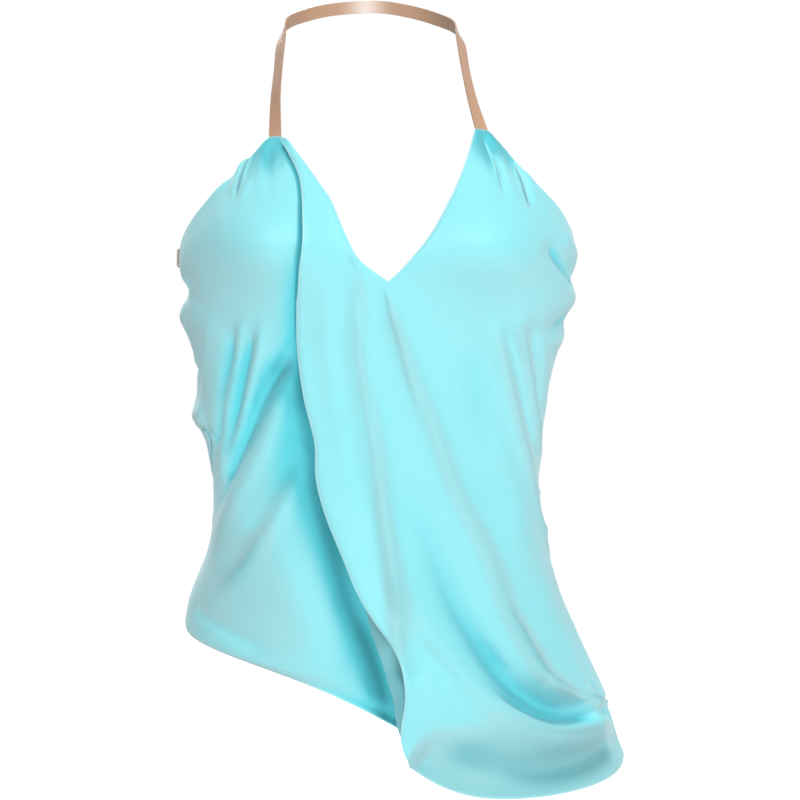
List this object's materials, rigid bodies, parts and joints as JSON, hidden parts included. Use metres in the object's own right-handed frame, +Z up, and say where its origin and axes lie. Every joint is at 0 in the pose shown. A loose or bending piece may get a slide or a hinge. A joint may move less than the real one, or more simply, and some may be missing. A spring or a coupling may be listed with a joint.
{
  "type": "halter neck top",
  "caption": "Satin halter neck top in its worn, hollow form: crossed V front with a draped revers, deep side swag and slanted hem, bare back with a tape across it, low back panel.",
  "frame": {"origin": "middle of the inner face of the neck tape at the nape, where the wearer's neck holds the top up", "axes": "+Z up, -Y the way the wearer faces, +X towards the wearer's left"},
  "size_m": [0.3379, 0.2309, 0.6027],
  "materials": {
    "satin": "smooth satin with a soft sheen",
    "tape": "glossy elastic tape"
  },
  "bodies": {
    "root": {"right_front": "satin", "left_front": "satin", "revers_facing": "satin", "back": "satin", "neck_tape": "tape", "back_tape": "tape"}
  },
  "joints": []
}
